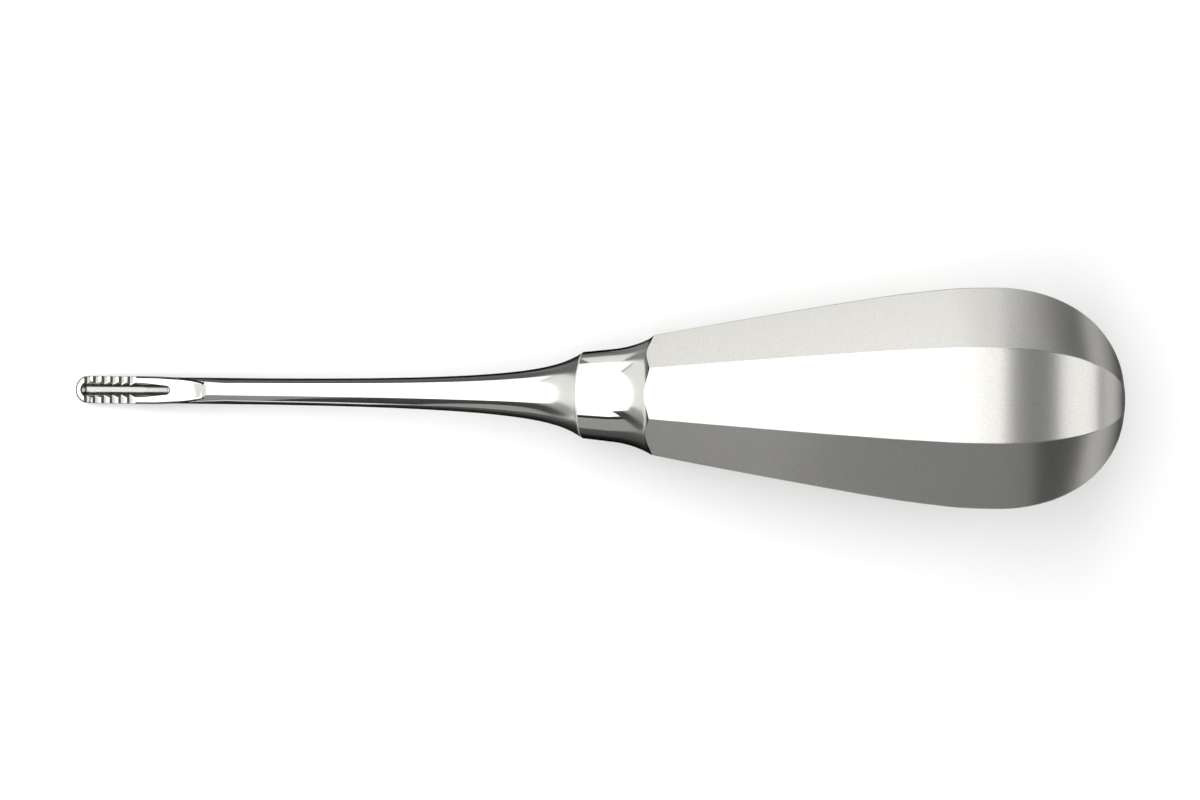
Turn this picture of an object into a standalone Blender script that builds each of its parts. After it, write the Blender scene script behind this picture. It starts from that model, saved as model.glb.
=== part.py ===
"""Root elevator: a serrated gouge on a polished shank, brazed into a hollow eight-sided grip.

Lengths are in metres. In the tool frame X runs along the axis, from the tip of the gouge at zero
to the butt of the grip, and Z points to the open side of the gouge. The model then lies as the
tool comes to rest: on a flat of its lower grip facet and on the heel of the gouge. The origin is
the middle of that flat.
"""

import math

import bmesh
import bpy
from mathutils import Matrix, Vector

# Blade: the gouge, the round shank and the flared collar are one forged and turned piece.
SEAM_STATION = 0.0754       # tip of the gouge to the joint between collar and grip
GOUGE_RADIUS = 0.0020       # round back of the gouge
GOUGE_AFTER_LANDS = 0.0020  # full-width part behind the level lands
NOSE_LENGTH = 0.0019        # rounded end of the gouge, seen from above
SHANK_RADIUS = 0.0019
WAIST_LENGTH = 0.0040       # over which the gouge narrows to the shank
FLARE_LENGTH = 0.0520       # the swelling part of the shank, up to the seam
FLARE_SWELL = 0.0093        # the last part of the flare, where most of its swelling is
FLARE_END_PULL = 0.0045     # how far the collar's end slope reaches back
FLARE_END_ANGLE = math.radians(32.0)
COLLAR_RADIUS = 0.00596
COLLAR_EDGE = 0.00022       # narrow turned edge along the collar's rim
TANG_RADIUS = 0.0025
TANG_LENGTH = 0.0095
TANG_CHAMFER = 0.0005

# Gouge: flat lands with a trough between them, saw teeth in the lands, and a ground back.
LAND_HEIGHT = 0.0002        # above the axis
LAND_AFTER_TEETH = 0.0003   # level part behind the last tooth
LAND_SWEEP_RADIUS = 0.039   # wheel that ran the lands out into the shank
TROUGH_RADIUS = 0.00125
TROUGH_LIP = 0.00065        # wall left standing round the tip
TROUGH_DEPTH_TIP = 0.00082  # below the lands
TROUGH_DEPTH_HEEL = 0.00090
TROUGH_AFTER_TEETH = 0.0004 # from the last tooth to where the trough starts to climb out
TROUGH_HEEL_RADIUS = 0.0040
TROUGH_CLIMB_ANGLE = math.radians(16.5)
TOOTH_COUNT = 6
TOOTH_START = 0.00130
TOOTH_PITCH = 0.00132
TOOTH_DEPTH = 0.00048
TOOTH_FLAT = 0.00005        # width left flat on the crest of each tooth
TOOTH_LEAN = 0.00028        # how far a steep face leans over its base
BACK_GRIND_LENGTH = 0.0080  # ground back, tip to heel
BACK_GRIND_RISE = 0.00112   # how much thinner it leaves the tip
BACK_GRIND_RADIUS = 0.0030

# Grip: half widths across its flats. Stations here are counted from the seam.
NECK_RADIUS = 0.00612       # at the seam
NECK_TAPER_LENGTH = 0.00435
NECK_TAPER_RISE = 0.00045
NECK_FLARE_RADIUS = 0.0145  # turned hollow that runs out towards the facets
NECK_FLARE_END = math.radians(26.5)
SHOULDER_RADIUS = 0.0024    # tighter end of the hollow, which scallops the facets' front
SHOULDER_END = math.radians(58.0)
GRIP_FRONT = 0.0090         # seam to the front of the facets
GRIP_FRONT_FLAT = 0.00808
GRIP_FRONT_SLOPE = 0.20
GRIP_FRONT_PULL = 0.0054
REST_FLAT_START = 0.0456    # the straight stretch that the tool lies on
REST_FLAT_LENGTH = 0.0045
REST_FLAT_HALF_WIDTH = 0.01416
REST_FLAT_PULL = 0.0057
BELLY_STATION = 0.0570      # widest place
BELLY_HALF_WIDTH = 0.01490
BELLY_PULL = 0.0106
BUTT_STATION = 0.0746
BUTT_PULL = 0.0084
GRIP_SIDES = 8
GRIP_WALL = 0.0015
CAVITY_FRONT = 0.0113       # solid steel from the seam to here, except for the bore
JOINT_GAP = 0.0003          # brazed gap, round the tang and at the seam

# How finely the curves are divided.
BLADE_SIDES = 48
NECK_SIDES = 64
FLARE_STEPS = 22
GRIP_STEPS = 12
BUTT_STEPS = 18
ARC_STEPS = 9
SHORT_STEPS = 4             # along the waist and up to the belly
ROD_ROUNDNESS = 8
ROD_END = math.radians(6.0) # first ring of a cutter's ball end
EDGE_FROM = math.radians(12.0) # faces that meet at more than this are shaded as an edge
MERGE = 0.00001
BEYOND = 0.004              # how far a cutter reaches past what it cuts


def clear_scene():
    for obj in list(bpy.data.objects):
        bpy.data.objects.remove(obj, do_unlink=True)


def new_collection(name):
    collection = bpy.data.collections.new(name)
    bpy.context.scene.collection.children.link(collection)
    return collection


def steel(name, colour, roughness):
    material = bpy.data.materials.new(name)
    material.use_nodes = True
    shader = material.node_tree.nodes["Principled BSDF"]
    shader.inputs["Base Color"].default_value = (*colour, 1.0)
    shader.inputs["Metallic"].default_value = 1.0
    shader.inputs["Roughness"].default_value = roughness
    return material


def bezier(start, start_pull, end_pull, end, steps):
    """Points of a cubic curve from start to end, both ends included."""
    corners = [Vector(p) for p in (start, start_pull, end_pull, end)]
    points = []
    for i in range(steps + 1):
        t = i / steps
        weights = ((1 - t) ** 3, 3 * t * (1 - t) ** 2, 3 * t * t * (1 - t), t ** 3)
        points.append(sum((w * c for w, c in zip(weights, corners)), Vector((0, 0))))
    return points


def tangent_arc(start, start_angle, end_angle, radius, steps):
    """Points of an arc that leaves start at one slope angle and ends at a steeper one."""
    centre = start + radius * Vector((-math.sin(start_angle), math.cos(start_angle)))
    points = []
    for i in range(1, steps + 1):
        angle = start_angle + (end_angle - start_angle) * i / steps
        points.append(centre + radius * Vector((math.sin(angle), -math.cos(angle))))
    return points


def inset(profile, wall):
    """The same profile, moved inwards by the wall."""
    moved = []
    for before, point, after in zip(profile[:-2], profile[1:-1], profile[2:]):
        along = (after - before).normalized()
        moved.append(point + wall * Vector((along.y, -along.x)))
    return moved


def turned(name, profile, sides, collection, roll=0.0, place=Matrix()):
    """A turned body. The profile holds (station, radius) points, from the tip end to the butt end."""
    mesh = bpy.data.meshes.new(name)
    points = [(radius, 0.0, station) for station, radius in reversed(profile)]
    mesh.from_pydata(points, [(i, i + 1) for i in range(len(points) - 1)], [])
    body = bpy.data.objects.new(name, mesh)
    collection.objects.link(body)
    body.parent = tool_axis
    upright_to_axis = Matrix.Rotation(math.radians(90.0), 4, "Y")
    body.matrix_basis = place @ upright_to_axis @ Matrix.Rotation(roll, 4, "Z")
    screw = body.modifiers.new("Turn", "SCREW")
    screw.axis = "Z"
    screw.steps = sides
    screw.render_steps = sides
    screw.use_merge_vertices = True
    screw.merge_threshold = MERGE
    return body


def mesh_from_curve(curve, collection):
    """Turns a finished curve into a welded mesh object of the same name and place."""
    bpy.context.view_layer.update()
    evaluated = curve.evaluated_get(bpy.context.evaluated_depsgraph_get())
    mesh = bpy.data.meshes.new_from_object(evaluated)
    welded = bmesh.new()
    welded.from_mesh(mesh)
    bmesh.ops.remove_doubles(welded, verts=welded.verts, dist=MERGE / 10)
    bmesh.ops.recalc_face_normals(welded, faces=welded.faces)
    welded.to_mesh(mesh)
    welded.free()
    name = curve.name
    place = curve.matrix_world.copy()
    bpy.data.objects.remove(curve, do_unlink=True)
    body = bpy.data.objects.new(name, mesh)
    collection.objects.link(body)
    body.matrix_world = place
    return body


def prism(name, outline, half_width, collection):
    """A block that runs across the tool, with its outline in (station, height) points."""
    data = bpy.data.curves.new(name, "CURVE")
    data.dimensions = "2D"
    data.fill_mode = "BOTH"
    data.extrude = half_width
    spline = data.splines.new("POLY")
    spline.points.add(len(outline) - 1)
    for point, (station, height) in zip(spline.points, outline):
        point.co = (station, height, 0.0, 1.0)
    spline.use_cyclic_u = True
    curve = bpy.data.objects.new(name, data)
    collection.objects.link(curve)
    curve.parent = tool_axis
    curve.rotation_euler = (math.radians(90.0), 0.0, 0.0)
    return mesh_from_curve(curve, collection)


def rod(name, path, radius, collection):
    """A round cutter along a path of (station, height, share of the radius) points."""
    data = bpy.data.curves.new(name, "CURVE")
    data.dimensions = "3D"
    data.bevel_depth = radius
    data.bevel_resolution = ROD_ROUNDNESS
    data.use_fill_caps = True
    spline = data.splines.new("POLY")
    spline.points.add(len(path) - 1)
    for point, (station, height, share) in zip(spline.points, path):
        point.co = (station, 0.0, height, 1.0)
        point.radius = share
    curve = bpy.data.objects.new(name, data)
    collection.objects.link(curve)
    curve.parent = tool_axis
    return mesh_from_curve(curve, collection)


def combine(body, other, operation):
    other.hide_render = True
    other.display_type = "WIRE"
    boolean = body.modifiers.new(other.name, "BOOLEAN")
    boolean.operation = operation
    boolean.object = other
    boolean.solver = "EXACT"
    boolean.use_self = True


def finish(body, material):
    """Applies the modifiers, gives the piece its material and shades its round faces smooth."""
    bpy.context.view_layer.update()
    evaluated = body.evaluated_get(bpy.context.evaluated_depsgraph_get())
    mesh = bpy.data.meshes.new_from_object(evaluated)
    body.modifiers.clear()
    body.data = mesh
    mesh.name = body.name
    mesh.materials.clear()
    mesh.materials.append(material)
    mesh.shade_smooth()
    mesh.set_sharp_from_angle(angle=EDGE_FROM)


def grip_profile():
    """Half width across the flats along the grip, from its front to the pole of the butt."""
    start = Vector((SEAM_STATION + GRIP_FRONT, GRIP_FRONT_FLAT))
    flat_start, flat_end = rest_flat()
    slope = rest_slope()
    belly = Vector((SEAM_STATION + BELLY_STATION, BELLY_HALF_WIDTH))
    pole = Vector((SEAM_STATION + BUTT_STATION, 0.0))
    reach = (belly.x - flat_end.x) / 3
    front = bezier(start, start + GRIP_FRONT_PULL * Vector((1, GRIP_FRONT_SLOPE)),
                   flat_start - REST_FLAT_PULL * Vector((1, slope)), flat_start, GRIP_STEPS)
    crown = bezier(flat_end, flat_end + reach * Vector((1, slope)),
                   belly - Vector((reach, 0)), belly, SHORT_STEPS)
    butt = bezier(belly, belly + Vector((BELLY_PULL, 0)),
                  pole + Vector((0, BUTT_PULL)), pole, BUTT_STEPS)
    return front + crown + butt[1:]


def rest_flat():
    """Both ends of the straight stretch that touches the table, in (station, half width)."""
    start = Vector((SEAM_STATION + REST_FLAT_START, REST_FLAT_HALF_WIDTH))
    return start, start + REST_FLAT_LENGTH * Vector((1, rest_slope()))


def rest_slope():
    """Slope of the table against the axis: the line from the heel of the gouge to the grip."""
    run = SEAM_STATION + REST_FLAT_START - BACK_GRIND_LENGTH
    return (REST_FLAT_HALF_WIDTH - GOUGE_RADIUS) / run


def place_tool():
    """Tilts the tool onto its two rests and puts the middle of the grip's flat at the origin."""
    turn = Matrix.Rotation(-math.atan(rest_slope()), 4, "Y")
    flat_start, flat_end = rest_flat()
    middle = (flat_start + flat_end) / 2
    tool_axis.rotation_euler = turn.to_euler()
    tool_axis.location = -(turn @ Vector((middle.x, 0.0, -middle.y)))


def blade_profile():
    nose = []
    for i in range(ARC_STEPS + 1):
        angle = math.radians(90.0) * i / ARC_STEPS
        nose.append(Vector((NOSE_LENGTH * (1 - math.cos(angle)), GOUGE_RADIUS * math.sin(angle))))
    gouge_end = Vector((tooth_end() + LAND_AFTER_TEETH + GOUGE_AFTER_LANDS, GOUGE_RADIUS))
    shank_start = Vector((gouge_end.x + WAIST_LENGTH, SHANK_RADIUS))
    half = Vector((WAIST_LENGTH / 2, 0))
    waist = bezier(gouge_end, gouge_end + half, shank_start - half, shank_start, SHORT_STEPS)
    flare_start = Vector((SEAM_STATION - FLARE_LENGTH, SHANK_RADIUS))
    rim = Vector((SEAM_STATION - COLLAR_EDGE, COLLAR_RADIUS))
    pull = FLARE_END_PULL * Vector((math.cos(FLARE_END_ANGLE), math.sin(FLARE_END_ANGLE)))
    slender_end = Vector((SEAM_STATION - FLARE_SWELL, SHANK_RADIUS))
    flare = bezier(flare_start, slender_end, rim - pull, rim, FLARE_STEPS)
    half_edge = (NECK_RADIUS - COLLAR_RADIUS) / 2
    collar = [Vector((SEAM_STATION, COLLAR_RADIUS + half_edge)), Vector((SEAM_STATION, TANG_RADIUS))]
    tang_end = SEAM_STATION + TANG_LENGTH
    tang = [Vector((tang_end - TANG_CHAMFER, TANG_RADIUS)),
            Vector((tang_end, TANG_RADIUS - TANG_CHAMFER)), Vector((tang_end, 0))]
    return nose + waist + flare + collar + tang


def back_grind():
    """A round form, tipped up towards the nose, that leaves the gouge thin at its tip."""
    heel = Matrix.Translation((BACK_GRIND_LENGTH, 0, -GOUGE_RADIUS))
    turn = Matrix.Rotation(math.atan(BACK_GRIND_RISE / BACK_GRIND_LENGTH), 4, "Y")
    form_heel = Matrix.Translation((BACK_GRIND_LENGTH, 0, -BACK_GRIND_RADIUS))
    far = SEAM_STATION + TANG_LENGTH + BEYOND
    drift = far * BACK_GRIND_RISE / BACK_GRIND_LENGTH
    wide = COLLAR_RADIUS + drift + BEYOND
    profile = [Vector((-BEYOND, 0)), Vector((-BEYOND, BACK_GRIND_RADIUS)),
               Vector((BACK_GRIND_LENGTH, BACK_GRIND_RADIUS)),
               Vector((BACK_GRIND_LENGTH + BEYOND, wide)), Vector((far, wide)), Vector((far, 0))]
    return turned("back_grind_form", profile, BLADE_SIDES, cutters,
                  place=heel @ turn @ form_heel.inverted())


def tooth_end():
    return TOOTH_START + TOOTH_COUNT * TOOTH_PITCH


def tooth_outline():
    """Saw teeth along the lands: each ramps up towards the grip and drops in a steep face."""
    low = LAND_HEIGHT - TOOTH_DEPTH
    points = []
    for i in range(TOOTH_COUNT):
        face = TOOTH_START + i * TOOTH_PITCH
        points += [(face, LAND_HEIGHT), (face + TOOTH_LEAN, low),
                   (face + TOOTH_PITCH - TOOTH_FLAT, LAND_HEIGHT)]
    return points


def land_grind():
    """Takes the top off the gouge: level, with the saw teeth, then in an arc up to the shank."""
    top = SHANK_RADIUS + BEYOND
    start = Vector((tooth_end() + LAND_AFTER_TEETH, LAND_HEIGHT))
    sweep = math.acos(1 - (2 * SHANK_RADIUS) / LAND_SWEEP_RADIUS)
    ramp = tangent_arc(start, 0.0, sweep, LAND_SWEEP_RADIUS, 2 * ARC_STEPS)
    outline = [(-BEYOND, LAND_HEIGHT), *tooth_outline(), start, *ramp,
               (ramp[-1].x, top), (-BEYOND, top)]
    return prism("land_grind", outline, 2 * GOUGE_RADIUS, cutters)


def trough_mill():
    """A ball-ended rod that sinks along the gouge and then bends to climb out of it."""
    nose = TROUGH_LIP + TROUGH_RADIUS
    rise = TROUGH_RADIUS + LAND_HEIGHT
    path = []
    for i in range(ARC_STEPS):
        angle = ROD_END + (math.radians(90.0) - ROD_END) * i / ARC_STEPS
        path.append((nose - TROUGH_RADIUS * math.cos(angle), rise - TROUGH_DEPTH_TIP,
                     math.sin(angle)))
    path.append((nose, rise - TROUGH_DEPTH_TIP, 1.0))
    heel = Vector((tooth_end() + TROUGH_AFTER_TEETH, rise - TROUGH_DEPTH_HEEL))
    slope = math.atan((TROUGH_DEPTH_TIP - TROUGH_DEPTH_HEEL) / (heel.x - nose))
    path.append((*heel, 1.0))
    bend = tangent_arc(heel, slope, TROUGH_CLIMB_ANGLE, TROUGH_HEEL_RADIUS, ARC_STEPS)
    clear_of_top = SHANK_RADIUS + TROUGH_RADIUS - bend[-1].y
    out = bend[-1] + clear_of_top * Vector((1 / math.tan(TROUGH_CLIMB_ANGLE), 1))
    path += [(*point, 1.0) for point in (*bend, out)]
    return rod("trough_mill", path, TROUGH_RADIUS, cutters)


def make_blade():
    blade = turned("blade", blade_profile(), BLADE_SIDES, parts)
    combine(blade, land_grind(), "DIFFERENCE")
    combine(blade, back_grind(), "INTERSECT")
    combine(blade, trough_mill(), "DIFFERENCE")
    finish(blade, steel("polished_stainless", (0.62, 0.62, 0.61), 0.12))
    return blade


def neck_form():
    """The lathe's pass over the neck, which runs out into the facets in scallops."""
    seam = Vector((SEAM_STATION + JOINT_GAP, NECK_RADIUS))
    taper_end = Vector((SEAM_STATION + NECK_TAPER_LENGTH, NECK_RADIUS + NECK_TAPER_RISE))
    slope = math.atan2(taper_end.y - seam.y, taper_end.x - seam.x)
    flare = tangent_arc(taper_end, slope, NECK_FLARE_END, NECK_FLARE_RADIUS, ARC_STEPS)
    shoulder = tangent_arc(flare[-1], NECK_FLARE_END, SHOULDER_END, SHOULDER_RADIUS, ARC_STEPS)
    wide = 2 * BELLY_HALF_WIDTH
    out = Vector((shoulder[-1].x + (wide - shoulder[-1].y) / math.tan(SHOULDER_END), wide))
    far = SEAM_STATION + BUTT_STATION + BEYOND
    profile = [Vector((seam.x, 0)), seam, taper_end, *flare, *shoulder, out,
               Vector((far, wide)), Vector((far, 0))]
    return turned("neck_form", profile, NECK_SIDES, cutters)


def make_handle():
    facet_roll = math.radians(180.0) / GRIP_SIDES
    to_corner = 1 / math.cos(facet_roll)
    outside = grip_profile()
    stub = [Vector((SEAM_STATION, 0)), Vector((SEAM_STATION, GRIP_FRONT_FLAT))]
    corners = [Vector((p.x, p.y * to_corner)) for p in stub + outside]
    handle = turned("handle", corners, GRIP_SIDES, parts, facet_roll)
    combine(handle, neck_form(), "INTERSECT")

    cavity_front = SEAM_STATION + CAVITY_FRONT
    inside = [p for p in inset(outside, GRIP_WALL) if p.x > cavity_front and p.y > 0]
    front = Vector((cavity_front, inside[0].y - (inside[0].x - cavity_front) * GRIP_FRONT_SLOPE))
    pole = Vector((SEAM_STATION + BUTT_STATION - GRIP_WALL, 0))
    hollow = [Vector((cavity_front, 0)), front, *inside, pole]
    cavity = turned("cavity", [Vector((p.x, p.y * to_corner)) for p in hollow],
                    GRIP_SIDES, cutters, facet_roll)
    combine(handle, cavity, "DIFFERENCE")

    bore_radius = TANG_RADIUS + JOINT_GAP
    bore_end = cavity_front + GRIP_WALL
    bore = turned("tang_bore",
                  [Vector((SEAM_STATION - BEYOND, 0)), Vector((SEAM_STATION - BEYOND, bore_radius)),
                   Vector((bore_end, bore_radius)), Vector((bore_end, 0))], BLADE_SIDES, cutters)
    combine(handle, bore, "DIFFERENCE")
    finish(handle, steel("satin_stainless", (0.60, 0.60, 0.59), 0.38))
    return handle


clear_scene()
parts = new_collection("root_elevator")
cutters = new_collection("cutters")
tool_axis = bpy.data.objects.new("tool_axis", None)
parts.objects.link(tool_axis)
place_tool()
make_blade()
make_handle()
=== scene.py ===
# %% [markdown]
# # A root elevator in polished and satin steel
#
# A root elevator is a dentist's hand tool. A small serrated gouge sits on a slender polished shank,
# and the shank flares into a collar that is brazed to a hollow, eight-sided grip. The whole tool is
# stainless steel, so nearly all of its look comes from two finishes and from what they reflect.
# This lesson rebuilds both pieces with finer surfaces around the fixed model, gives them their
# finishes, and lights them as a product photographer would.

import math

import bmesh
import bpy
from mathutils import Matrix, Vector


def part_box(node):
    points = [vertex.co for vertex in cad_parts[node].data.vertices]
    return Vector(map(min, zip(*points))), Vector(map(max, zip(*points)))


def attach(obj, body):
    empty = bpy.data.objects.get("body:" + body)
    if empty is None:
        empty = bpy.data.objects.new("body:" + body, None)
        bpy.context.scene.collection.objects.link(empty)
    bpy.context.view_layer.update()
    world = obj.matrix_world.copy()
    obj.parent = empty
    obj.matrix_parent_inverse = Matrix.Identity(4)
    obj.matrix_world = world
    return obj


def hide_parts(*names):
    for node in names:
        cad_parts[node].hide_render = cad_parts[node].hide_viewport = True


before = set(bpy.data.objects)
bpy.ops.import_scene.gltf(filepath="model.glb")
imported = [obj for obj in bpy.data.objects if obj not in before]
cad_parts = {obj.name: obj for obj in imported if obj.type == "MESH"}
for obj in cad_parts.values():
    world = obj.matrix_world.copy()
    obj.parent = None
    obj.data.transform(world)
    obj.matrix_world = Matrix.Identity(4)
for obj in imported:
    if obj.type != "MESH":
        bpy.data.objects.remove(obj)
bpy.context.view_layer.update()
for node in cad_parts:
    low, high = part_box(node)
    print(node, "is", [round(1000 * size, 1) for size in high - low], "mm")

# %% [markdown]
# ## The tool's own axis
#
# The tool lies on a table: the grip rests on the middle of its lower facet, which is the origin, and
# the gouge touches at its heel. So its axis slopes. Modelling along a sloping axis is awkward, and
# the usual way round that is to model along X in plain millimetres, from the tip of the gouge at
# zero to the butt, and to put one matrix on every finished mesh. That matrix comes from the same
# few sizes that the rest pose hangs on.

# %% Place of the tool
MM = 0.001
SEAM = 75.4             # tip of the gouge to the joint between collar and grip
GOUGE_RADIUS = 2.0
GOUGE_HEEL = 8.0        # from the tip, where the gouge touches the table
FLAT_START = 45.6       # from the seam: the straight stretch that the grip rests on
FLAT_LENGTH = 4.5
FLAT_HALF_WIDTH = 14.16

rest_slope = (FLAT_HALF_WIDTH - GOUGE_RADIUS) / (SEAM + FLAT_START - GOUGE_HEEL)
flat_middle = Vector((SEAM + FLAT_START + FLAT_LENGTH / 2, 0.0,
                      -FLAT_HALF_WIDTH - rest_slope * FLAT_LENGTH / 2))
tilt = Matrix.Rotation(-math.atan(rest_slope), 4, "Y")
PLACE = Matrix.Scale(MM, 4) @ Matrix.Translation(-(tilt @ flat_middle)) @ tilt
print("the axis slopes by", round(math.degrees(math.atan(rest_slope)), 2), "degrees")

# %% [markdown]
# ## Colours and nodes
#
# Colours are written as the hex values that a colour picker shows, and Blender wants linear light,
# so one function turns the first into the second. Another adds a shader node with its settings and
# its links in one line, which keeps each material short enough to read.

# %% Helpers for materials
def linear(hex_colour):
    """The linear colour of an sRGB hex value."""
    shares = [int(hex_colour[i:i + 2], 16) / 255 for i in (1, 3, 5)]
    return tuple(c / 12.92 if c <= 0.04045 else ((c + 0.055) / 1.055) ** 2.4 for c in shares)


def add(tree, kind, links=None, inputs=None, **settings):
    """Adds a node: settings are its properties, inputs its values, links where its inputs come from."""
    node = tree.nodes.new(kind)
    for name, value in settings.items():
        setattr(node, name, value)
    for name, value in (inputs or {}).items():
        node.inputs[name].default_value = value
    for name, socket in (links or {}).items():
        tree.links.new(socket, node.inputs[name])
    return node


def metal(name, hex_colour, roughness):
    """A metal with its own node tree: returns the material, its tree and its shader."""
    material = bpy.data.materials.new(name)
    material.use_nodes = True
    shader = material.node_tree.nodes["Principled BSDF"]
    shader.inputs["Base Color"].default_value = (*linear(hex_colour), 1.0)
    shader.inputs["Metallic"].default_value = 1.0
    shader.inputs["Roughness"].default_value = roughness
    shader.inputs["Specular Tint"].default_value = (*linear("#303030"), 1.0)
    return material, material.node_tree, shader


# %% [markdown]
# ## Polished stainless steel
#
# The blade and the neck are stainless steel, polished on a wheel until they mirror the room. A
# perfect mirror looks like chrome, so the finish keeps what the wheel leaves: faint marks that run
# round the tool, and patches that are a little duller. The marks are about 0.05 mm apart on the
# real tool, too fine to show, so they are drawn three times as coarse and very shallow. Where the
# blade flares to its collar, and where the neck flares to the facets, the wheel can't reach and the
# last polish is done by hand. There the mirror softens, so each gets the stretch in which it does.

# %% Polished stainless
POLISH_MARK = 0.15      # mm between polishing marks, as drawn
HAND_POLISH = 0.16      # how much rougher the finish gets where the wheel can't reach


def polished_stainless(name, dull_from, dull_to):
    """Mirror polish that softens between two stations, in mm from the tip of the gouge."""
    material, tree, shader = metal(name, "#C6C5C1", 0.07)
    place = add(tree, "ShaderNodeTexCoord").outputs["Object"]
    station = add(tree, "ShaderNodeSeparateXYZ", {"Vector": place}).outputs["X"]
    softer = add(tree, "ShaderNodeMapRange", {"Value": station},
                 {"From Min": (PLACE @ Vector((dull_from, 0, 0))).x,
                  "From Max": (PLACE @ Vector((dull_to, 0, 0))).x,
                  "To Min": 0.0, "To Max": HAND_POLISH}, interpolation_type="SMOOTHSTEP")
    along = add(tree, "ShaderNodeMapping", {"Vector": place},
                {"Rotation": (0.0, math.atan(rest_slope), 0.0),
                 "Scale": (1 / (POLISH_MARK * MM), 60.0, 60.0)}).outputs["Vector"]
    marks = add(tree, "ShaderNodeTexNoise", {"Vector": along}, {"Scale": 1.0, "Detail": 2.0})
    patches = add(tree, "ShaderNodeTexNoise", {"Vector": place}, {"Scale": 220.0, "Detail": 3.0})
    dull = add(tree, "ShaderNodeMapRange", {"Value": patches.outputs["Fac"]},
               {"From Min": 0.35, "From Max": 0.75, "To Min": 0.05, "To Max": 0.10})
    rough = add(tree, "ShaderNodeMath", operation="ADD")
    tree.links.new(dull.outputs["Result"], rough.inputs[0])
    tree.links.new(softer.outputs["Result"], rough.inputs[1])
    tree.links.new(rough.outputs["Value"], shader.inputs["Roughness"])
    bump = add(tree, "ShaderNodeBump", {"Height": marks.outputs["Fac"]},
               {"Strength": 0.02, "Distance": 0.02 * MM})
    tree.links.new(bump.outputs["Normal"], shader.inputs["Normal"])
    return material


polished = polished_stainless("polished_stainless", 66.0, 74.0)
polished_neck = polished_stainless("polished_neck_stainless", 80.5, 84.5)
print("made", polished.name, "and", polished_neck.name)

# %% [markdown]
# ## Satin stainless steel
#
# The facets are blasted with fine glass beads, so that a wet glove doesn't slip. The beads leave
# dents about 0.05 mm wide, which spread each reflection into a soft glow and give the grey a fine
# speckle. The grain is drawn 0.16 mm wide, a pixel or so in the picture, as a shallow bump and a
# slight change of tone. The trough is left as the cutter made it, glossier. Its grey is also drawn
# darker, as painted shade: its walls pass the light from one to the other and lose some each time.

# %% Satin stainless
BEAD_GRAIN = 0.16       # mm across a dent, as drawn


def satin_stainless(name, dark_grain, light_grain, roughness):
    material, tree, shader = metal(name, light_grain, roughness)
    place = add(tree, "ShaderNodeTexCoord").outputs["Object"]
    grain = add(tree, "ShaderNodeTexNoise", {"Vector": place},
                {"Scale": 1 / (BEAD_GRAIN * MM), "Detail": 1.0})
    tone = add(tree, "ShaderNodeValToRGB", {"Fac": grain.outputs["Fac"]})
    tone.color_ramp.elements[0].position = 0.3
    tone.color_ramp.elements[0].color = (*linear(dark_grain), 1.0)
    tone.color_ramp.elements[1].position = 0.7
    tone.color_ramp.elements[1].color = (*linear(light_grain), 1.0)
    tree.links.new(tone.outputs["Color"], shader.inputs["Base Color"])
    bump = add(tree, "ShaderNodeBump", {"Height": grain.outputs["Fac"]},
               {"Strength": 0.12, "Distance": 0.03 * MM})
    tree.links.new(bump.outputs["Normal"], shader.inputs["Normal"])
    return material


satin = satin_stainless("satin_stainless", "#B5B4B0", "#C5C4C0", 0.28)
# The trough's steel: glossier as milled, and a darker grey that is painted shade for the hollow.
milled_with_painted_shade = satin_stainless("milled_stainless_painted_shade", "#9A9995", "#A8A7A3", 0.17)
print("made", satin.name, "and, for the trough,", milled_with_painted_shade.name)

# %% [markdown]
# ## Silver braze
#
# Collar and grip are joined with silver solder, and a thin pale line of it shows all round the
# collar's rim. It is softer than the steel, so the wheel leaves it matt: it glows where the steel
# beside it mirrors something dark.

# %% Silver braze
def silver_braze():
    material, tree, shader = metal("silver_braze", "#EDEBE4", 0.5)
    return material


braze = silver_braze()
print("made", braze.name)

# %% [markdown]
# ## Curves for the outlines
#
# Both pieces are drawn from the same few curves that a designer would use: cubic curves for the
# long swells and arcs for what a wheel or a lathe tool leaves. They return points, so that an
# outline is a short sum of such curves and needs no list of numbers.

# %% Helpers for outlines
def cubic(start, start_pull, end_pull, end, steps):
    """Points of a cubic curve, both ends included."""
    points = []
    for i in range(steps + 1):
        t = i / steps
        points.append((1 - t) ** 3 * start + 3 * t * (1 - t) ** 2 * start_pull
                      + 3 * t * t * (1 - t) * end_pull + t ** 3 * end)
    return points


def rising_arc(start, start_angle, end_angle, radius, steps):
    """Points after start on an arc that leaves it at one slope and ends at a steeper one."""
    centre = start + radius * Vector((-math.sin(start_angle), math.cos(start_angle)))
    angles = [start_angle + (end_angle - start_angle) * i / steps for i in range(1, steps + 1)]
    return [centre + radius * Vector((math.sin(a), -math.cos(a))) for a in angles]


# %% [markdown]
# ## Turning, sweeping and cutting
#
# A lathe gives a profile spun about the axis. A ball-ended cutter gives a round bar swept along its
# path. A wheel gives a flat outline pushed sideways. These are the three shapes that the tool's
# maker has, so three helpers make them, and a fourth takes one shape from another with a Boolean.
# The Boolean needs objects, so the helper makes two for a moment and clears them away.

# %% Helpers for shapes
def spun(profile, steps):
    """A closed body of revolution about X from (station, radius) points."""
    body = bmesh.new()
    verts = [body.verts.new((station, 0.0, radius)) for station, radius in profile]
    edges = [body.edges.new(pair) for pair in zip(verts, verts[1:])]
    bmesh.ops.spin(body, geom=verts + edges, cent=(0, 0, 0), axis=(1, 0, 0), dvec=(0, 0, 0),
                   angle=2 * math.pi, steps=steps, use_merge=True, use_duplicate=False)
    bmesh.ops.remove_doubles(body, verts=body.verts, dist=0.001)
    bmesh.ops.recalc_face_normals(body, faces=body.faces)
    return body


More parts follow.
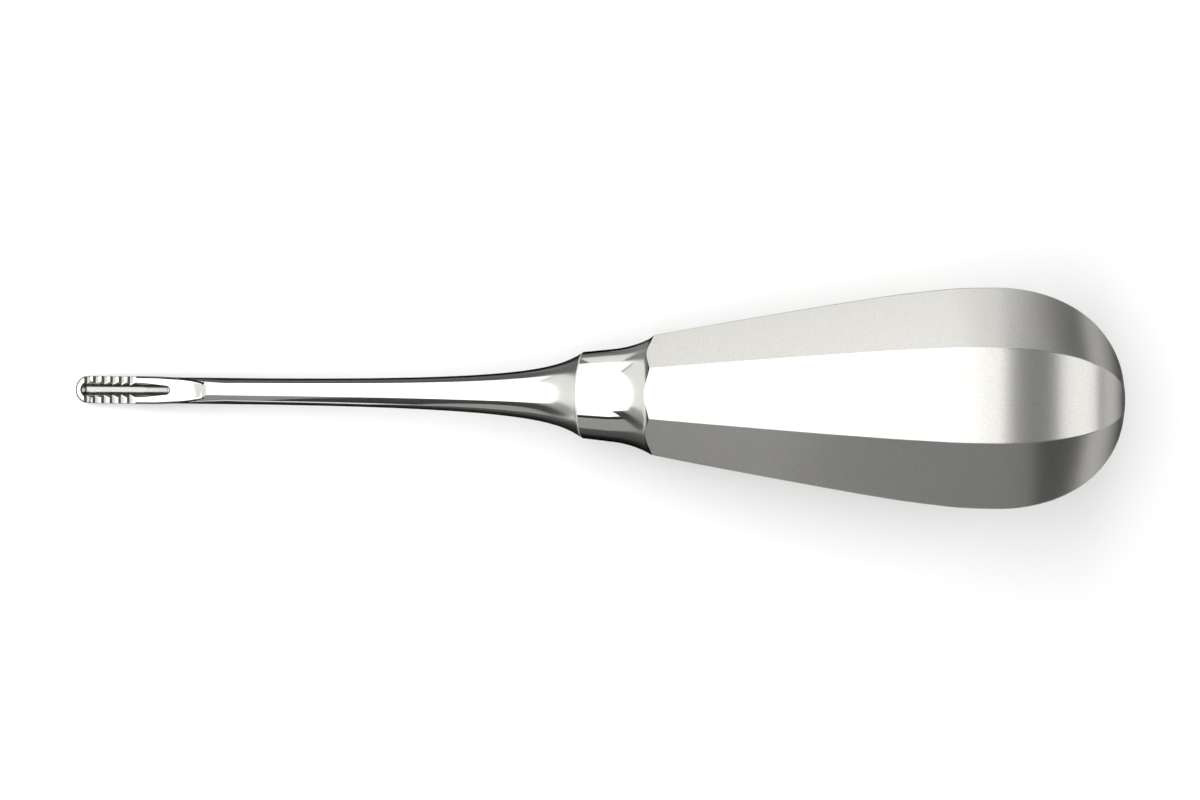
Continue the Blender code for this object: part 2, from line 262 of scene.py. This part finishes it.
def lofted(ring, places):
    """Pulls a flat ring of one face along a row of placing matrices and closes the far end."""
    body = ring
    bmesh.ops.transform(body, matrix=places[0], verts=body.verts)
    rim = [edge for edge in body.edges if edge.is_boundary]
    for before, after in zip(places, places[1:]):
        pulled = bmesh.ops.extrude_edge_only(body, edges=rim)["geom"]
        moved = [part for part in pulled if isinstance(part, bmesh.types.BMVert)]
        rim = [part for part in pulled if isinstance(part, bmesh.types.BMEdge)]
        bmesh.ops.transform(body, matrix=after @ before.inverted(), verts=moved)
    bmesh.ops.edgeloop_fill(body, edges=rim)
    bmesh.ops.recalc_face_normals(body, faces=body.faces)
    return body


def slab(outline, half_width):
    """A block across the tool from an outline of (station, height) points."""
    body = bmesh.new()
    face = body.faces.new([body.verts.new((x, -half_width, z)) for x, z in outline])
    pulled = bmesh.ops.extrude_face_region(body, geom=[face])["geom"]
    moved = [part for part in pulled if isinstance(part, bmesh.types.BMVert)]
    bmesh.ops.translate(body, vec=(0, 2 * half_width, 0), verts=moved)
    bmesh.ops.recalc_face_normals(body, faces=body.faces)
    return body


def to_object(body, name):
    """Makes an object of a bmesh that can wear each finish, and frees the bmesh."""
    mesh = bpy.data.meshes.new(name)
    body.to_mesh(mesh)
    body.free()
    for finish in (satin, polished, braze):
        mesh.materials.append(finish)
    made = bpy.data.objects.new(name, mesh)
    bpy.context.scene.collection.objects.link(made)
    return made


def cut(body, cutter, operation):
    """Applies a Boolean of two bmeshes and returns the result as a new bmesh."""
    work = to_object(body, "work")
    tool = to_object(cutter, "tool")
    boolean = work.modifiers.new("cut", "BOOLEAN")
    boolean.operation = operation
    boolean.object = tool
    boolean.use_self = True
    evaluated = work.evaluated_get(bpy.context.evaluated_depsgraph_get())
    result = bmesh.new()
    result.from_mesh(evaluated.to_mesh())
    for done in (work, tool):
        bpy.data.objects.remove(done, do_unlink=True)
    return result


# %% [markdown]
# ## Finishing a piece
#
# A finished mesh is put in its place, in metres. Round surfaces are shaded smooth and crisp edges
# stay crisp. Weighted normals keep the wide flats flat in the reflections: without them the
# shading would bend towards each rounded ridge.

# %% Helper to finish a piece
CRISP_FROM = math.radians(24)


def finish_piece(body, name, node):
    bmesh.ops.remove_doubles(body, verts=body.verts, dist=0.0005)
    bmesh.ops.transform(body, matrix=PLACE, verts=body.verts)
    piece = to_object(body, name)
    piece.data.shade_smooth()
    piece.data.set_sharp_from_angle(angle=CRISP_FROM)
    weighted = piece.modifiers.new("flat_shading", "WEIGHTED_NORMAL")
    weighted.keep_sharp = True
    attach(piece, "root")
    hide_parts(node)
    print(name, "has", len(piece.data.polygons), "faces")
    return piece


# %% [markdown]
# ## The blade
#
# Gouge, shank and collar are one forging, turned and polished. Its profile is a rounded nose, the
# gouge at full width, a slight waist to the shank, and one long curve that swells to the collar and
# ends in a narrow turned edge. The lathe makes it: a profile spun in small steps, because a
# polished surface shows every facet.

# %% Profile of the blade
NOSE_LENGTH = 1.9
TOOTH_COUNT = 6
TOOTH_START = 1.30
TOOTH_PITCH = 1.32
LAND_AFTER_TEETH = 0.3
GOUGE_AFTER_LANDS = 2.0
WAIST_LENGTH = 4.0
SHANK_RADIUS = 1.9
FLARE_LENGTH = 52.0
FLARE_SWELL = 9.3
FLARE_END_PULL = 4.5
FLARE_END_ANGLE = math.radians(32)
COLLAR_RADIUS = 5.96
COLLAR_EDGE = 0.22
NECK_RADIUS = 6.12
TURNING_STEPS = 160

teeth_end = TOOTH_START + TOOTH_COUNT * TOOTH_PITCH


def blade_profile():
    nose = []
    for i in range(13):
        angle = math.radians(90) * i / 12
        nose.append(Vector((NOSE_LENGTH * (1 - math.cos(angle)), GOUGE_RADIUS * math.sin(angle))))
    gouge_end = Vector((teeth_end + LAND_AFTER_TEETH + GOUGE_AFTER_LANDS, GOUGE_RADIUS))
    shank_start = gouge_end + Vector((WAIST_LENGTH, SHANK_RADIUS - GOUGE_RADIUS))
    half = Vector((WAIST_LENGTH / 2, 0))
    waist = cubic(gouge_end, gouge_end + half, shank_start - half, shank_start, 8)
    flare_start = Vector((SEAM - FLARE_LENGTH, SHANK_RADIUS))
    slender_end = Vector((SEAM - FLARE_SWELL, SHANK_RADIUS))
    rim = Vector((SEAM - COLLAR_EDGE, COLLAR_RADIUS))
    pull = FLARE_END_PULL * Vector((math.cos(FLARE_END_ANGLE), math.sin(FLARE_END_ANGLE)))
    flare = cubic(flare_start, slender_end, rim - pull, rim, 60)
    edge = Vector((SEAM, (COLLAR_RADIUS + NECK_RADIUS) / 2))
    return nose + waist + flare + [edge, Vector((SEAM, 0))]


blade = spun(blade_profile(), TURNING_STEPS)
for face in blade.faces:
    on_rim = face.calc_center_median().x > SEAM - COLLAR_EDGE
    face.material_index = 2 if on_rim else 1
print("the turned blade has", len(blade.verts), "corners")

# %% [markdown]
# ## The lands and their teeth
#
# The top of the gouge is ground flat, so that two level lands are left beside the trough, and the
# wheel then runs out in a long arc into the shank. Saw teeth are filed across the lands: each ramps
# up towards the grip and drops in a steep face, so that the tool bites when it is pulled back. One
# outline holds the level, the teeth and the arc, and cuts them in one go.

# %% Grind the lands
LAND_HEIGHT = 0.2
LAND_SWEEP_RADIUS = 39.0
TOOTH_DEPTH = 0.48
TOOTH_FLAT = 0.05
TOOTH_LEAN = 0.28
BEYOND = 4.0            # how far a cutter reaches past what it cuts


def land_outline():
    points = [(-BEYOND, LAND_HEIGHT)]
    for i in range(TOOTH_COUNT):
        face = TOOTH_START + i * TOOTH_PITCH
        points += [(face, LAND_HEIGHT), (face + TOOTH_LEAN, LAND_HEIGHT - TOOTH_DEPTH),
                   (face + TOOTH_PITCH - TOOTH_FLAT, LAND_HEIGHT)]
    start = Vector((teeth_end + LAND_AFTER_TEETH, LAND_HEIGHT))
    sweep = math.acos(1 - 2 * SHANK_RADIUS / LAND_SWEEP_RADIUS)
    ramp = rising_arc(start, 0.0, sweep, LAND_SWEEP_RADIUS, 60)
    top = SHANK_RADIUS + BEYOND
    return points + [start, *ramp, (ramp[-1].x, top), (-BEYOND, top)]


lands = slab(land_outline(), 2 * GOUGE_RADIUS)
for face in lands.faces:
    face.material_index = 1
blade = cut(blade, lands, "DIFFERENCE")
print("with its lands ground it has", len(blade.faces), "faces")

# %% [markdown]
# ## The ground back
#
# Underneath, the gouge is ground thinner towards the tip, so that it slides between root and bone.
# The wheel leaves a round surface, a little flatter than the gouge, tipped up about the heel. What
# the gouge and this form have in common is what stays.

# %% Grind the back
BACK_RISE = 1.12
BACK_RADIUS = 3.0


def back_form():
    far = SEAM + BEYOND
    wide = NECK_RADIUS + far * BACK_RISE / GOUGE_HEEL + BEYOND
    profile = [(-BEYOND, 0), (-BEYOND, BACK_RADIUS), (GOUGE_HEEL, BACK_RADIUS),
               (GOUGE_HEEL + BEYOND, wide), (far, wide), (far, 0)]
    form = spun(profile, TURNING_STEPS)
    for face in form.faces:
        face.material_index = 1
    tip_up = Matrix.Rotation(math.atan(BACK_RISE / GOUGE_HEEL), 4, "Y")
    heel = Matrix.Translation((GOUGE_HEEL, 0, -GOUGE_RADIUS))
    form_heel = Matrix.Translation((GOUGE_HEEL, 0, -BACK_RADIUS))
    bmesh.ops.transform(form, matrix=heel @ tip_up @ form_heel.inverted(), verts=form.verts)
    return form


blade = cut(blade, back_form(), "INTERSECT")
print("with its back ground it has", len(blade.faces), "faces")

# %% [markdown]
# ## The trough
#
# A ball-ended cutter sinks a trough between the lands, rises slowly past the teeth and is lifted
# out, which leaves the pointed arch that the eye picks up first. Both ball ends belong to the sweep:
# rings that grow from nearly nothing to the full radius, and shrink again.

# %% Mill the trough
TROUGH_RADIUS = 1.25
TROUGH_LIP = 0.65
TROUGH_DEPTH_TIP = 0.82
TROUGH_DEPTH_HEEL = 0.60
TROUGH_AFTER_TEETH = 0.7
TROUGH_HEEL_RADIUS = 4.0
TROUGH_CLIMB = math.radians(10)
TROUGH_END = 13.8        # where the cutter is lifted out
ROD_SIDES = 96


def trough_path():
    """Points of the cutter's path, each with the share of the radius that the rod has there."""
    level = TROUGH_RADIUS + LAND_HEIGHT
    nose = Vector((TROUGH_LIP + TROUGH_RADIUS, level - TROUGH_DEPTH_TIP))
    heel = Vector((teeth_end + TROUGH_AFTER_TEETH, level - TROUGH_DEPTH_HEEL))
    slope = math.atan2(heel.y - nose.y, heel.x - nose.x)
    bend = rising_arc(heel, slope, TROUGH_CLIMB, TROUGH_HEEL_RADIUS, 24)
    end = bend[-1] + (TROUGH_END - bend[-1].x) * Vector((1, math.tan(TROUGH_CLIMB)))
    angles = [math.radians(90) * i / 16 for i in range(1, 16)]
    ball = [(nose - Vector((TROUGH_RADIUS * math.cos(a), 0)), math.sin(a)) for a in angles]
    climb = TROUGH_RADIUS * Vector((math.cos(TROUGH_CLIMB), math.sin(TROUGH_CLIMB)))
    lift = [(end + climb * math.sin(a), math.cos(a)) for a in angles]
    return ball + [(point, 1.0) for point in (nose, heel, *bend, end)] + lift


def trough_rod():
    path = trough_path()
    ring = bmesh.new()
    bmesh.ops.create_circle(ring, cap_ends=True, radius=TROUGH_RADIUS, segments=ROD_SIDES)
    places = []
    for i, (point, share) in enumerate(path):
        before = path[max(i - 1, 0)][0]
        after = path[min(i + 1, len(path) - 1)][0]
        along = after - before
        lean = Matrix.Rotation(math.radians(90) - math.atan2(along.y, along.x), 4, "Y")
        places.append(Matrix.Translation((point.x, 0, point.y)) @ lean @ Matrix.Scale(share, 4))
    return lofted(ring, places)


blade = cut(blade, trough_rod(), "DIFFERENCE")
print("with its trough milled it has", len(blade.faces), "faces")

# %% [markdown]
# ## A softened edge
#
# No hand tool leaves the polisher with a razor's edge all round. Where the ground lands meet the
# turned side, the wheel breaks the edge by 0.3 mm. It is a pixel or two wide, but it mirrors what
# lies low beside and under the tool, a dark board of painted shadow among it, and draws the thin
# dark line round the gouge.

# %% Break the edge of the lands
BROKEN_EDGE = 0.30
BROKEN_TOOTH_EDGE = 0.08


def land_edges(body, on_teeth):
    """Edges between the lands and the turned side, but not those of the trough."""
    chosen = []
    for edge in body.edges:
        if len(edge.link_faces) != 2:
            continue
        land, side = sorted(edge.link_faces, key=lambda face: -face.normal.z)
        middle = (edge.verts[0].co + edge.verts[1].co) / 2
        outward = Vector((min(middle.x - NOSE_LENGTH, 0), middle.y, 0))
        if (land.normal.z > 0.8 and side.normal.dot(outward) > 0
                and middle.x < SEAM / 2 and edge.calc_face_angle() > math.radians(35)
                and (TOOTH_START < middle.x < teeth_end) == on_teeth):
            chosen.append(edge)
    return chosen


for on_teeth, width in ((True, BROKEN_TOOTH_EDGE), (False, BROKEN_EDGE)):
    edges = land_edges(blade, on_teeth)
    bmesh.ops.bevel(blade, geom=edges, affect="EDGES", offset=width, segments=4, profile=0.5,
                    material=-1, clamp_overlap=False)
    print("broke", len(edges), "edges")
blade_piece = finish_piece(blade, "blade_polished", "blade")
# The trough wears the glossier steel whose darker grey is painted shade.
blade_piece.data.materials[0] = milled_with_painted_shade

# %% [markdown]
# ## The grip
#
# The grip is a pear with eight flat sides. A ring with eight corners, each softened a little as a
# polishing belt leaves it, is pulled along the axis and scaled to the pear's half width at each
# station. Scaling the ring keeps every side flat across, so the ridges stay straight lines seen
# from their side, and they run together at the butt as on the real grip.

# %% Loft the facets
GRIP_FRONT = 9.0        # from the seam, as are the other stations of the grip
GRIP_FRONT_FLAT = 8.08
GRIP_FRONT_SLOPE = 0.20
GRIP_FRONT_PULL = 5.4
FLAT_PULL = 5.7
BELLY = 57.0
BELLY_HALF_WIDTH = 14.90
BELLY_PULL = 10.6
BUTT = 74.6
BUTT_PULL = 8.4
GRIP_SIDES = 8
RIDGE_SOFTNESS = 0.012  # how much of the ring's corner the belt takes off, as a share of its radius


def grip_outline():
    front = Vector((SEAM + GRIP_FRONT, GRIP_FRONT_FLAT))
    flat_start = Vector((SEAM + FLAT_START, FLAT_HALF_WIDTH))
    flat_end = flat_start + FLAT_LENGTH * Vector((1, rest_slope))
    belly = Vector((SEAM + BELLY, BELLY_HALF_WIDTH))
    pole = Vector((SEAM + BUTT, 0))
    reach = (belly.x - flat_end.x) / 3
    rise = cubic(front, front + GRIP_FRONT_PULL * Vector((1, GRIP_FRONT_SLOPE)),
                 flat_start - FLAT_PULL * Vector((1, rest_slope)), flat_start, 60)
    crown = cubic(flat_end, flat_end + reach * Vector((1, rest_slope)),
                  belly - Vector((reach, 0)), belly, 12)
    butt = cubic(belly, belly + Vector((BELLY_PULL, 0)), pole + Vector((0, BUTT_PULL)), pole, 60)
    stub = Vector((SEAM, GRIP_FRONT_FLAT))
    return [stub, *rise, *crown, *butt[1:-1]], pole


def grip_body():
    outline, pole = grip_outline()
    to_corner = 1 / math.cos(math.pi / GRIP_SIDES)
    ring = bmesh.new()
    bmesh.ops.create_circle(ring, cap_ends=True, radius=to_corner, segments=GRIP_SIDES)
    bmesh.ops.rotate(ring, verts=ring.verts, cent=(0, 0, 0),
                     matrix=Matrix.Rotation(math.pi / GRIP_SIDES, 3, "Z"))
    bmesh.ops.bevel(ring, geom=ring.verts[:], affect="VERTICES", offset=RIDGE_SOFTNESS,
                    segments=4, profile=0.5, material=-1)
    upright = Matrix.Rotation(math.radians(90), 4, "Y")
    places = [Matrix.Translation((point.x, 0, 0)) @ upright @ Matrix.Scale(point.y, 4)
              for point in outline]
    body = lofted(ring, places)
    end = max(body.faces, key=lambda face: face.calc_center_median().x)
    tip = bmesh.ops.poke(body, faces=[end])["verts"][0]
    tip.co = (pole.x, 0, 0)
    return body


grip = grip_body()
print("the lofted grip has", len(grip.faces), "faces")

# %% [markdown]
# ## The neck
#
# The front of the grip is turned on a lathe and polished: a short neck that widens a little and
# then flares into the facets. Where a round flare meets eight flats it leaves eight scallops, and
# nobody has to draw them: the pear and the lathe's form are intersected. The faces that come from
# the lathe's form keep the polished finish, and the others the satin one.

# %% Turn the neck
NECK_TAPER_LENGTH = 4.35
NECK_TAPER_RISE = 0.45
NECK_FLARE_RADIUS = 14.5
NECK_FLARE_END = math.radians(26.5)
SHOULDER_RADIUS = 2.4
SHOULDER_END = math.radians(58)
BRAZED_LINE = 0.03      # hairline left between collar and neck


def neck_form():
    front = Vector((SEAM + BRAZED_LINE, NECK_RADIUS))
    taper_end = Vector((SEAM + NECK_TAPER_LENGTH, NECK_RADIUS + NECK_TAPER_RISE))
    slope = math.atan2(NECK_TAPER_RISE, taper_end.x - front.x)
    flare = rising_arc(taper_end, slope, NECK_FLARE_END, NECK_FLARE_RADIUS, 40)
    shoulder = rising_arc(flare[-1], NECK_FLARE_END, SHOULDER_END, SHOULDER_RADIUS, 24)
    wide = 2 * BELLY_HALF_WIDTH
    out = Vector((shoulder[-1].x + (wide - shoulder[-1].y) / math.tan(SHOULDER_END), wide))
    far = SEAM + BUTT + BEYOND
    profile = [(front.x, 0), front, taper_end, *flare, *shoulder, out, (far, wide), (far, 0)]
    form = spun(profile, TURNING_STEPS)
    for face in form.faces:
        face.material_index = 1
    return form


grip = cut(grip, neck_form(), "INTERSECT")
grip_piece = finish_piece(grip, "grip_satin", "handle")
grip_piece.data.materials[1] = polished_neck

# %% [markdown]
# ## Floor, light and camera
#
# The tool lies on a plain pale floor. Steel has no colour of its own: it shows what stands round
# it. A mirror that leans by some angle shows what stands at twice that angle from straight up, and
# that is how each light finds its place. A large soft light hangs over the blade's side and makes the
# white facet and the white patch on the neck. A second one stands past the butt, and the gap between
# the two is the dark band near the belly. Three more stand behind the tool and past its tip.

# %% Floor
FLOOR_SIZE = 12.0


def pale_floor():
    material = bpy.data.materials.new("matt_paper")
    material.use_nodes = True
    shader = material.node_tree.nodes["Principled BSDF"]
    shader.inputs["Base Color"].default_value = (*linear("#F0F0F0"), 1.0)
    shader.inputs["Roughness"].default_value = 0.9
    shader.inputs["Specular IOR Level"].default_value = 0.1
    return material


def floor():
    body = bmesh.new()
    bmesh.ops.create_grid(body, x_segments=1, y_segments=1, size=FLOOR_SIZE / 2)
    mesh = bpy.data.meshes.new("floor")
    body.to_mesh(mesh)
    body.free()
    mesh.materials.append(pale_floor())
    made = bpy.data.objects.new("floor", mesh)
    bpy.context.scene.collection.objects.link(made)
    made.location.z = -0.0001
    return made


floor()

# %% Lights
def silk(name, corner, across, down, brightness):
    """A rectangle of soft light from one corner and two sides. Its face looks away from across x down."""
    across, down = Vector(across), Vector(down)
    data = bpy.data.lights.new(name, "AREA")
    data.shape = "RECTANGLE"
    data.size = across.length
    data.size_y = down.length
    data.energy = math.pi * across.length * down.length * brightness
    light = bpy.data.objects.new(name, data)
    turn = Matrix((across.normalized(), -down.normalized(),
                   -across.normalized().cross(down.normalized()))).transposed()
    light.matrix_world = Matrix.Translation(Vector(corner) + (across + down) / 2) @ turn.to_4x4()
    bpy.context.scene.collection.objects.link(light)
    return light


silk("overhead_silk", (-0.80, 2.5, 0.55), (0.812, 0, 0), (0, -4.7, 0), 2.1)
silk("tip_silk", (-0.80, 1.0, 0.55), (0, -1.35, 0), (0, 0, -0.55), 1.0)
silk("tip_strip", (-0.20, 0.02, 0.034), (0, -0.04, 0), (0, 0, -0.026), 1.6)
silk("far_silk", (0.05, 1.0, 0.6), (-0.80, 0, 0), (0, 0, -0.6), 1.7)
silk("butt_silk", (0.8, -0.25, 0.95), (0, 0.85, 0), (0, 0, -0.83), 1.45)

# %% [markdown]
# ## Cards for the reflections
#
# Bright steel on a pale floor would vanish, white on white. A photographer stands small dark and
# grey cards beside it, and each draws its band or its thin dark outline on the metal. Here such a
# card is seen in reflections alone, so it can stand close to the tool or lie under it: neither the
# camera nor the floor knows of it. Grey cards tone the lower facet and the neck, and a black strip
# draws the line under the neck's white patch. A dark board under the blade and grey sheets on the
# floor beside the neck and the shank are painted shadow: they stand for the tool's own shade on the
# floor, and darken the round sides where these mirror it.

# %% Helper for cards
def card(name, corner, across, up, hex_colour):
    """A card that only shows as a reflection: it dims a mirror without shading the scene."""
    corner, across, up = Vector(corner), Vector(across), Vector(up)
    body = bmesh.new()
    corners = (corner, corner + across, corner + across + up, corner + up)
    body.faces.new([body.verts.new(point) for point in corners])
    made = to_object(body, name)
    board = bpy.data.materials.new(name)
    board.use_nodes = True
    shader = board.node_tree.nodes["Principled BSDF"]
    shader.inputs["Base Color"].default_value = (*linear(hex_colour), 1.0)
    shader.inputs["Roughness"].default_value = 0.9
    made.data.materials.clear()
    made.data.materials.append(board)
    made.visible_camera = False
    made.visible_diffuse = False
    made.visible_shadow = False
    return made


# %% Cards beside the grip and the neck
card("facet_card", (-0.035, -0.064, 0.0), (0.067, 0, 0), (0, 0, 0.060), "#888888")
card("butt_card", (0.032, -0.064, 0.0), (0.17, 0, 0), (0, 0, 0.060), "#484848")
card("far_butt_card", (0.050, 0.050, 0.0001), (0.10, 0, 0), (0, 0.16, 0), "#303030")
card("neck_card", (-0.110, -0.064, 0.0), (0.075, 0, 0), (0, 0, 0.040), "#A0A0A0")
card("neck_bar_card", (-0.100, -0.0635, 0.040), (0.055, 0, 0), (0, 0, 0.011), "#000000")
# Painted shadow: a dark sheet on the floor on the near side of the neck, for the tool's shade there.
card("neck_floor_shadow_sheet", (-0.085, -0.064, 0.0001), (0.050, 0, 0), (0, 0.044, 0), "#484848")
# Painted shadow: a grey sheet on the floor on the far side of the neck, for the tool's shade there.
card("neck_far_floor_shadow_sheet", (-0.062, 0.015, 0.0001), (0.015, 0, 0), (0, 0.015, 0), "#909090")
card("neck_far_low_card", (-0.062, 0.030, 0.0), (0.0065, 0, 0), (0, 0, 0.012), "#909090")

# %% Cards beside the blade
card("shank_card", (-0.115, -0.063, 0.0), (0.025, 0, 0), (0, 0, 0.078), "#303030")
card("flare_card", (-0.175, -0.063, 0.0), (0.060, 0, 0), (0, 0, 0.078), "#909090")
# Painted shadow: a dark board on the floor under the blade, standing for the tool's own shade there.
card("under_blade_shadow_board", (-0.145, -0.020, 0.0001), (0.110, 0, 0), (0, 0.035, 0), "#202020")
# Painted shadow: a grey sheet on the floor along the far side of the shank, for the tool's shade.
card("far_floor_shadow_sheet", (-0.165, 0.015, 0.0001), (0.103, 0, 0), (0, 0.015, 0), "#686868")
card("far_low_card", (-0.165, 0.030, 0.0), (0.103, 0, 0), (0, 0, 0.012), "#686868")
card("far_tip_card", (-0.131, 0.009, 0.0), (0.021, 0, 0), (0, 0, 0.018), "#202020")
card("near_tip_card", (-0.131, -0.009, 0.0), (0.021, 0, 0), (0, 0, 0.013), "#202020")
card("nose_card", (-0.136, -0.009, 0.0), (0, 0.018, 0), (0, 0, 0.004), "#202020")

# %% World
world = bpy.data.worlds.new("studio")
bpy.context.scene.world = world
world.use_nodes = True
world.node_tree.nodes["Background"].inputs["Color"].default_value = (*linear("#949494"), 1.0)
world.node_tree.nodes["Background"].inputs["Strength"].default_value = 1.0

# %% Camera
CAMERA_PLACE = (-0.03672, -0.01010, 0.29194)
CAMERA_TURN = (0.03394, 0.03488, 0.01649)
LENS = 60.0             # on a 36 mm wide sensor

scene = bpy.context.scene
camera_data = bpy.data.cameras.new("camera")
camera_data.lens = LENS
camera_data.sensor_width = 36.0
camera_data.clip_start = 0.01
camera = bpy.data.objects.new("camera", camera_data)
camera.location = CAMERA_PLACE
camera.rotation_euler = CAMERA_TURN
scene.collection.objects.link(camera)
scene.camera = camera
scene.view_settings.view_transform = "Standard"
